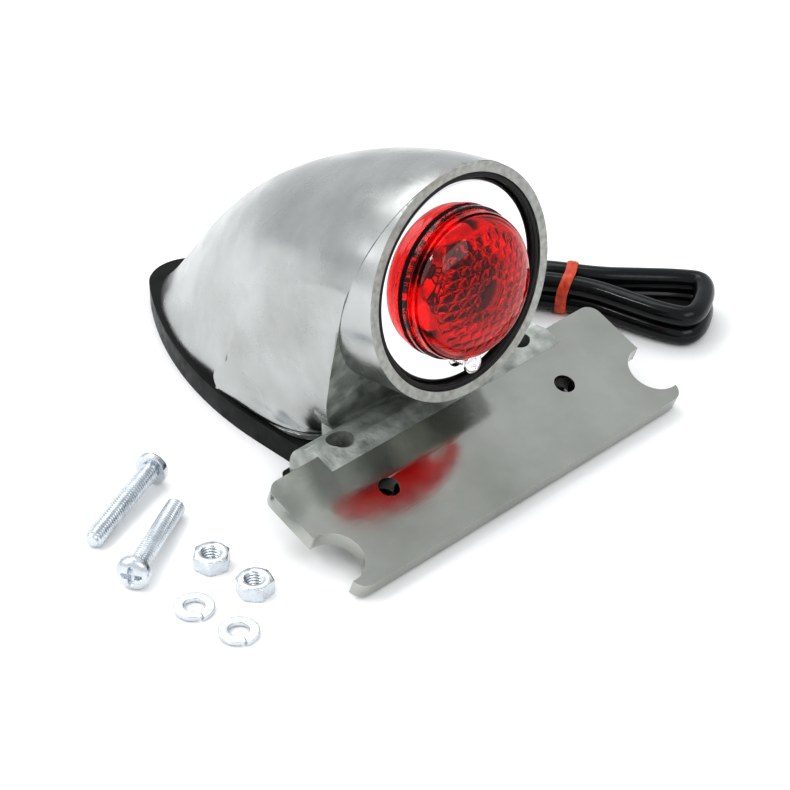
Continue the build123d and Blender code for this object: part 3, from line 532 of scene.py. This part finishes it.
lens = dict(
    base=-0.0012, flange=0.0234, flangeHigh=0.0018, skirt=0.0225, skirtHigh=0.0040, crown=0.0145,
    wall=0.0020, edge=0.0003, shoulder=0.0004, step=0.0002, flatness=0.92, outerRows=46, innerRows=74,
    pillowWide=0.0034, pillowHigh=0.0029, pillowDeep=0.0007, pillowPower=0.6, fade=0.001,
    clearCentre=0.0045, rim=0.0185, turns=420)
skirtTop = lens["base"] + lens["skirtHigh"]


# a flattened dome from the skirt's top to the crown: the radius follows a power of the angle's cosine and
# the height its sine
def domeProfile(radius, high, steps):
    angle = np.linspace(0, math.pi / 2, steps)
    domeRadius = radius * np.cos(angle) ** lens["flatness"]
    return np.stack((domeRadius, skirtTop + (high - skirtTop) * np.sin(angle)), -1)


outerDome = domeProfile(lens["skirt"], lens["crown"], lens["outerRows"])
innerDome = domeProfile(lens["skirt"] - lens["wall"], lens["crown"] - lens["wall"], lens["innerRows"])[::-1]
flangeTop = lens["base"] + lens["flangeHigh"]
outerSkirt = np.array((
    (lens["flange"] - lens["edge"], lens["base"]), (lens["flange"], lens["base"] + lens["edge"]),
    (lens["flange"], flangeTop - lens["shoulder"]), (lens["flange"] - lens["shoulder"], flangeTop),
    (lens["skirt"] + lens["step"], flangeTop), (lens["skirt"], flangeTop + lens["edge"])))
innerSkirt = np.array(((lens["skirt"] - lens["wall"], lens["base"]),))
lensProfile = np.concatenate((outerSkirt, outerDome, innerDome, innerSkirt))
lensAngle = np.linspace(0, 2 * math.pi, lens["turns"], endpoint=False)
lensRadius = np.broadcast_to(lensProfile[:, :1], (len(lensProfile), lens["turns"]))
lensHigh = np.broadcast_to(lensProfile[:, 1:], lensRadius.shape)
lensX, lensUp = lensRadius * np.cos(lensAngle), lensRadius * np.sin(lensAngle)
# pillow optics on the inside: rows of small cushions, none over the clear centre and the skirt
isInner = np.zeros(len(lensProfile))
isInner[len(outerSkirt) + len(outerDome):-1] = 1
fade = np.clip((lensRadius - lens["clearCentre"]) / lens["fade"], 0, 1) \
    * np.clip((lens["rim"] - lensRadius) / lens["fade"], 0, 1)
rowNumber = np.floor(lensUp / lens["pillowHigh"])
pillow = np.abs(np.cos(math.pi * (lensX / lens["pillowWide"] + 0.5 * (rowNumber % 2)))) \
    * np.abs(np.cos(math.pi * (lensUp / lens["pillowHigh"] + 0.5)))
lensHigh = lensHigh - isInner[:, None] * fade * lens["pillowDeep"] * pillow ** lens["pillowPower"]
lensPoints = rimCentre + lensX[..., None] * across + lensUp[..., None] * lampUp \
    + lensHigh[..., None] * lampAxis
lensFaces = gridFaces(len(lensProfile), lens["turns"], True, True)
lensPiece = meshObject("lensDome", lensPoints, lensFaces, lensRed)
stands(lensPiece, "lens_unit", "lens_red", "lens")


recess = dict(middle=1.25, taper=0.4, wallSlope=0.18, endSlope=0.25, rise=0.45)
thread = dict(crest=1.25, flank=3.4, tipRunOut=0.0012, headRunOut=0.0008, tipChamfer=0.0008, tipDrop=0.0005)
panHead = dict(
    sides=33, rows=60, sidePower=0.8, crownPower=0.9,
    underEdge=0.0004, underTurn=0.0001, corner=0.0004, side=0.7)


# depth of a cross recess that is deepest in the middle: the deeper of two arms, each a cross-section times
# its fade outwards
def crossRecess(x, y, span, wide, deep):
    def arm(along, aside):
        out = np.abs(along) / span
        halfWide = wide / 2 * (recess["middle"] - recess["taper"] * out)
        inArm = np.clip((halfWide - np.abs(aside)) / (wide * recess["wallSlope"]), 0, 1)
        return inArm * np.clip((1 - out) / recess["endSlope"], 0, 1) * (1 - recess["rise"] * out)
    return deep * np.maximum(arm(x, y), arm(y, x))


# a screw as one surface: rows run from the tip up the thread, over the head and to its middle. The thread's
# radius follows a ridge whose phase is the height over the pitch less the share of the turn. Heights are
# positive towards the tip. The crown follows powers of a cosine and a sine, drawn with straight sides that
# the rows divide evenly, and the recess is taken out of it
def panScrew(name, seat, axis, spec, material):
    axis = np.array(axis) / np.linalg.norm(axis)
    side = np.cross(axis, (0.0, 0.0, 1.0))
    side = side / np.linalg.norm(side)
    other = np.cross(side, axis)
    angle = np.linspace(0, 2 * math.pi, spec["turns"], endpoint=False)[None]
    along = np.linspace(0, spec["shank"], int(spec["shank"] / spec["pitch"] * spec["steps"]))[::-1][:, None]
    phase = (along / spec["pitch"] - angle / (2 * math.pi)) % 1
    ridge = np.clip(thread["crest"] - np.abs(phase - 0.5) * thread["flank"], 0, 1)
    fromTip = spec["shank"] - along
    runOut = np.clip(fromTip / thread["tipRunOut"], 0, 1) * np.clip(along / thread["headRunOut"], 0, 1)
    tipEase = np.clip(1 - fromTip / thread["tipChamfer"], 0, 1)
    core = spec["radius"] - spec["threadDeep"]
    shankRadius = core + spec["threadDeep"] * ridge * runOut - tipEase * thread["tipDrop"]
    head, rise, edge = spec["head"], spec["rise"], spec["edge"]
    crownTurn = np.linspace(0, math.pi / 2, panHead["sides"] + 1)
    rowTurn = np.linspace(0, math.pi / 2, panHead["rows"])
    crownRadius = head * np.cos(crownTurn) ** panHead["sidePower"]
    crownHigh = -edge - (rise - edge) * np.sin(crownTurn) ** panHead["crownPower"]
    headRadius = np.array((head - panHead["underEdge"], head - panHead["underTurn"], head, head))
    headHigh = np.array((0, -panHead["underTurn"], -panHead["corner"], -edge * panHead["side"]))
    headRadius = np.concatenate((headRadius, np.interp(rowTurn, crownTurn, crownRadius)))[:, None]
    headHigh = np.concatenate((headHigh, np.interp(rowTurn, crownTurn, crownHigh)))[:, None]
    headShape = (len(headHigh), spec["turns"])
    tipRow = np.zeros((1, spec["turns"]))
    radius = np.concatenate((tipRow, shankRadius, np.broadcast_to(headRadius, headShape)))
    height = np.concatenate((tipRow + spec["shank"], np.broadcast_to(along, shankRadius.shape),
                             np.broadcast_to(headHigh, headShape)))
    x, y = radius * np.cos(angle), radius * np.sin(angle)
    depth = crossRecess(x, y, spec["recessSpan"], spec["recessWide"], spec["recessDeep"])
    height = height + (height < -edge) * depth
    points = np.array(seat) + x[..., None] * side + y[..., None] * other + height[..., None] * axis
    return meshObject(name, points, gridFaces(len(radius), spec["turns"], False, True), material)


lensScrew = dict(
    radius=0.00195, threadDeep=0.00028, pitch=0.0007, steps=8, shank=0.011,
    head=0.0034, rise=0.0024, edge=0.0008,
    recessSpan=0.0021, recessWide=0.0010, recessDeep=0.0013, turns=72, below=0.0262, seat=0.00065)
screwSeat = rimCentre - lampUp * lensScrew["below"] + lampAxis * lensScrew["seat"]
screwPiece = panScrew("lensScrew", screwSeat, -lampAxis, lensScrew, mirrorChrome)
stands(screwPiece, "lens_unit", "screw_chrome", "lens_screw")

# the contact spring: round wire carried along a helix from the spring's foot to its top
contactSpring = dict(radius=0.0063, wire=0.0008, turns=4.0, around=16, along=280, travel=0.003)
springSpots = np.zeros(len(nodes["contact_spring"].data.vertices) * 3, np.float32)
nodes["contact_spring"].data.vertices.foreach_get("co", springSpots)
springHeights = (springSpots.reshape(-1, 3) - rimCentre) @ lampAxis
springFoot, springTop = springHeights.min(), springHeights.max()
springShare = np.linspace(0, 1, contactSpring["along"])
springShare = np.concatenate((springShare[:1], springShare, springShare[-1:]))[:, None]
wireRadius = np.full(len(springShare), contactSpring["wire"] / 2)
wireRadius[[0, -1]] = 0
wireRadius = wireRadius[:, None]
wireTurn = np.linspace(0, 2 * math.pi, contactSpring["around"], endpoint=False)[None]
coilTurn = 2 * math.pi * contactSpring["turns"] * springShare
coilRadius = contactSpring["radius"] + wireRadius * np.cos(wireTurn)
coilRise = springShare * (springTop - springFoot - contactSpring["wire"])
coilHigh = springFoot + contactSpring["wire"] / 2 + coilRise + wireRadius * np.sin(wireTurn)
springPoints = rimCentre + (coilRadius * np.cos(coilTurn))[..., None] * across \
    + (coilRadius * np.sin(coilTurn))[..., None] * lampUp + coilHigh[..., None] * lampAxis
springFaces = gridFaces(len(springShare), contactSpring["around"], False, True)
springPiece = meshObject("springCoil", springPoints, springFaces, springSteel)
stands(springPiece, "lamp", "spring_steel", "contact_spring")
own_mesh(springPiece)
print("lamp unit ready")


# loose hardware on the floor
looseScrew = dict(
    radius=0.003, threadDeep=0.0006, pitch=0.001, steps=9, shank=0.035,
    head=0.00525, rise=0.0039, edge=0.0016,
    recessSpan=0.0034, recessWide=0.0016, recessDeep=0.0022, turns=84,
    places=((-0.0760, 0.0437, 201.0), (-0.1095, 0.0098, 30.0)))
drop = math.atan2(looseScrew["head"] - looseScrew["radius"], looseScrew["shank"])
for number, (x, y, heading) in enumerate(looseScrew["places"]):
    turn = math.radians(heading)
    axis = (math.cos(turn) * math.cos(drop), math.sin(turn) * math.cos(drop), -math.sin(drop))
    piece = panScrew("looseScrew%d" % number, (x, y, looseScrew["head"]), axis, looseScrew, zincPlated)
    stands(piece, "screws", "zinc_steel", "mounting_screws")

# a nut: the outside radius is the hexagon's or, nearer to either face, the chamfer's where that is smaller;
# the bore's radius follows the thread's ridge
hexNut = dict(
    flats=0.010, high=0.005, bore=0.0026, thread=0.00038, pitch=0.001, crest=1.3, flank=3.4, mouth=0.0003,
    face=0.0047, slope=1.75, turns=180, sideRows=30, boreRows=44,
    places=((-0.0882, 0.0012, 12.0), (-0.0871, -0.0165, 41.0)))
nutAngle = np.linspace(0, 2 * math.pi, hexNut["turns"], endpoint=False)[None]
nutSide = np.linspace(0, hexNut["high"], hexNut["sideRows"])[:, None]
flatRadius = hexNut["flats"] / 2 / np.cos((nutAngle + math.pi / 6) % (math.pi / 3) - math.pi / 6)
cornerLimit = hexNut["face"] + hexNut["slope"] * np.minimum(nutSide, hexNut["high"] - nutSide)
outsideRadius = np.minimum(flatRadius, cornerLimit)
boreHigh = np.linspace(hexNut["high"] - hexNut["mouth"], hexNut["mouth"], hexNut["boreRows"])[:, None]
borePhase = (boreHigh / hexNut["pitch"] - nutAngle / (2 * math.pi)) % 1
boreRidge = np.clip(hexNut["crest"] - np.abs(borePhase - 0.5) * hexNut["flank"], 0, 1)
boreRadius = hexNut["bore"] + hexNut["thread"] * boreRidge
mouthRadius = np.full((1, hexNut["turns"]), hexNut["bore"] + hexNut["thread"] + hexNut["mouth"])
nutRadius = np.concatenate((mouthRadius, outsideRadius, mouthRadius, boreRadius))
nutHigh = np.concatenate((np.zeros((1, 1)), nutSide, np.full((1, 1), hexNut["high"]), boreHigh))
nutFaces = gridFaces(len(nutRadius), hexNut["turns"], True, True)
for number, (x, y, heading) in enumerate(hexNut["places"]):
    turn = nutAngle + math.radians(heading)
    nutX, nutY = x + nutRadius * np.cos(turn), y + nutRadius * np.sin(turn)
    points = np.stack(np.broadcast_arrays(nutX, nutY, nutHigh), -1)
    piece = meshObject("hexNut%d" % number, points, nutFaces, zincPlated)
    stands(piece, "nuts", "zinc_steel", "mounting_nuts")

springWasher = dict(
    outer=0.0059, inner=0.00305, thick=0.0015, corner=0.0003, gap=0.0011, cutSlant=0.35, rise=0.0007,
    turns=150,
    places=((-0.1049, -0.0106, 250.0), (-0.1028, -0.0274, 245.0)))
washerSection = roundedProfile(
    ((springWasher["inner"], 0), (springWasher["outer"], 0), (springWasher["outer"], springWasher["thick"]),
     (springWasher["inner"], springWasher["thick"])), [springWasher["corner"]] * 4, 5)
washerMiddle = (springWasher["inner"] + springWasher["outer"]) / 2
# the section is carried round from one side of the cut to the other, rising, and closes to a point at both
# ends
washerTurn = np.linspace(0, 1, springWasher["turns"])
washerShrink = np.ones(springWasher["turns"])
washerTurn = np.concatenate((washerTurn[:1], washerTurn, washerTurn[-1:]))
washerShrink = np.concatenate(([0.0], washerShrink, [0.0]))[:, None]
washerRadius = washerMiddle + (washerSection[None, :, 0] - washerMiddle) * washerShrink
halfThick = springWasher["thick"] / 2
washerHigh = halfThick + (washerSection[None, :, 1] - halfThick) * washerShrink \
    + springWasher["rise"] * washerTurn[:, None]
halfGap = springWasher["gap"] / 2 / washerRadius
slant = springWasher["cutSlant"] * (washerHigh - halfThick) / washerMiddle
washerFaces = gridFaces(len(washerTurn), len(washerSection), False, True)
for number, (x, y, heading) in enumerate(springWasher["places"]):
    turn = math.radians(heading) + halfGap + (2 * math.pi - 2 * halfGap) * washerTurn[:, None] + slant
    points = np.stack((x + washerRadius * np.cos(turn), y + washerRadius * np.sin(turn), washerHigh), -1)
    piece = meshObject("springWasher%d" % number, points, washerFaces, zincPlated)
    stands(piece, "washers", "zinc_steel", "spring_washers")
print("loose hardware ready")

# housing: the casting with its faces told apart as polished, rough cast or satin, and its edges softened
casting = dict(
    rimRadius=0.0367, wall=0.0032, baseHalf=0.0360, waist=0.0011, foot=0.0080,
    webLean=12.4, webY=0.0081, webZ=0.0265, frontReach=0.0020, baseCentreY=0.0377, nose=0.1217,
    crownReaches=(0.0852, 0.0810, 0.0824, 0.0895), frontPower=5.0, squaring=0.2,
    barBack=0.0155, barTop=0.0215, skin=0.0015, near=0.0005, bodyStart=0.02, boreEnd=0.1, webShare=0.004,
    weld=2e-6, sliver=1e-6, soft=0.0004, softAngle=40)
webTilt = math.radians(casting["webLean"])
tilt = math.asin(lampAxis[2])
turnY = casting["webY"] + (casting["webZ"] - casting["foot"]) * math.tan(webTilt)
sweepAngle = math.pi / 2 + webTilt
tubeDepth = (turnY - rimCentre[1] - (rimCentre[2] - casting["foot"]) * math.tan(webTilt)) \
    / (math.cos(tilt) - math.sin(tilt) * math.tan(webTilt))
tubeReach = (rimCentre[2] - tubeDepth * math.sin(tilt) - casting["foot"]) / math.cos(webTilt)
tubeHalf = casting["rimRadius"] / math.cos(tilt + webTilt)
crownStations = np.array((tubeReach + tubeHalf, *casting["crownReaches"], casting["nose"] - turnY))
crownCurve = np.polyfit(np.linspace(0, 1, len(crownStations)), crownStations, len(crownStations) - 1)


# how far round the web's foot line each point stands, and whether it is deeper than the skin of the body:
# the outline at that turn is a superellipse, and the point is inside where its radius over the outline's is
# under one
def insideSkin(points):
    back, rise = points[:, 1] - turnY, points[:, 2] - casting["foot"]
    reach = np.hypot(back, rise)
    share = (np.arctan2(back, rise) + webTilt) / sweepAngle
    swept = np.clip(share, 0, 1)
    halfWidth = casting["rimRadius"] + (casting["baseHalf"] - casting["rimRadius"]) * swept \
        - casting["waist"] * np.sin(math.pi * swept)
    centre = tubeReach + (casting["baseCentreY"] - turnY - tubeReach) * swept
    crown = np.polyval(crownCurve, swept)
    above = reach > centre
    high = np.where(above, crown - centre, centre - casting["frontReach"])
    power = np.where(above, 2 - casting["squaring"] * swept ** 2, casting["frontPower"])
    sideways, upwards = np.abs(points[:, 0] / halfWidth), np.abs((reach - centre) / high)
    factor = (sideways ** power + upwards ** power) ** (1 / power)
    return share, np.minimum(halfWidth, high) * (1 - factor) > casting["skin"]


castingMesh = nodes["housing"].data.copy()
castingMesh.name = "castHousing"
welding = bmesh.new()
welding.from_mesh(castingMesh)
bmesh.ops.remove_doubles(welding, verts=welding.verts, dist=casting["weld"])
bmesh.ops.dissolve_degenerate(welding, edges=welding.edges, dist=casting["sliver"])
welding.to_mesh(castingMesh)
welding.free()
castingMesh.shade_smooth()
castingMesh.set_sharp_from_angle(angle=math.radians(casting["softAngle"]))
faceCentres = np.zeros(len(castingMesh.polygons) * 3, np.float32)
castingMesh.polygons.foreach_get("center", faceCentres)
faceCentres = faceCentres.reshape(-1, 3).astype(float)
relative = faceCentres - rimCentre
along = relative @ lampAxis
distance = np.linalg.norm(relative - along[:, None] * lampAxis, axis=1)
share, deep = insideSkin(faceCentres)
bore = casting["rimRadius"] - casting["wall"]
inBody = (share > casting["bodyStart"]) & deep
inBore = (distance < bore + casting["near"]) & (along < -casting["near"]) & (share < casting["boreEnd"])
onWeb = (np.abs(share) < casting["webShare"]) & (distance > casting["rimRadius"] + casting["near"])
onBar = (faceCentres[:, 2] < casting["barTop"]) & (faceCentres[:, 1] < casting["barBack"])
onRim = (np.abs(along) < casting["near"]) & (distance > bore - casting["near"])
castingMesh.materials.clear()
for finish in (polishedCasting, roughCasting, rimSatin):
    castingMesh.materials.append(finish)
finishNumber = np.where(inBody | inBore | onWeb | onBar, 1, 0)
finishNumber[onRim] = 2
castingMesh.polygons.foreach_set("material_index", finishNumber.astype(np.int32))
castHousing = bpy.data.objects.new("castHousing", castingMesh)
bpy.context.scene.collection.objects.link(castHousing)
softening = castHousing.modifiers.new("soften", "BEVEL")
softening.width, softening.segments, softening.limit_method = casting["soft"], 3, "ANGLE"
softening.angle_limit = math.radians(casting["softAngle"])
weighting = castHousing.modifiers.new("evenShading", "WEIGHTED_NORMAL")
weighting.keep_sharp = False
stands(castHousing, "lamp", "cast_aluminium", "housing")
print("housing ready,", len(castingMesh.polygons), "faces")

# parts of the frame that keep their shape: finishes and softened edges
finishes = dict(
    plate_bracket=plateSatin, base_gasket=gasketRubber, lens_gasket=foamRubber, screw_clip=springSteel,
    reflector=reflectorMetal, bulb_socket=socketSteel, bulb_cap=capBrass, cap_insulator=insulatorGlass,
    bulb_contacts=solderDots, bulb_glass=bulbGlass, bulb_stem=bulbGlass, bulb_filaments=tungsten,
    contact_disc=phenolic, contact_pins=capBrass, tail_wire=wireRed,
    brake_wire=wireYellow, earth_wire=wireBlack)
softEdges = dict(plate_bracket=0.0005, base_gasket=0.0008)
edgeSoftening = dict(weld=2e-6, angle=35)
for name, finish in finishes.items():
    node = nodes[name]
    node.data.materials.clear()
    node.data.materials.append(finish)
    if name in softEdges:
        weld = node.modifiers.new("weld", "WELD")
        weld.merge_threshold = edgeSoftening["weld"]
        bevel = node.modifiers.new("soften", "BEVEL")
        bevel.width, bevel.segments, bevel.limit_method = softEdges[name], 3, "ANGLE"
        bevel.angle_limit = math.radians(edgeSoftening["angle"])
print("finishes ready")
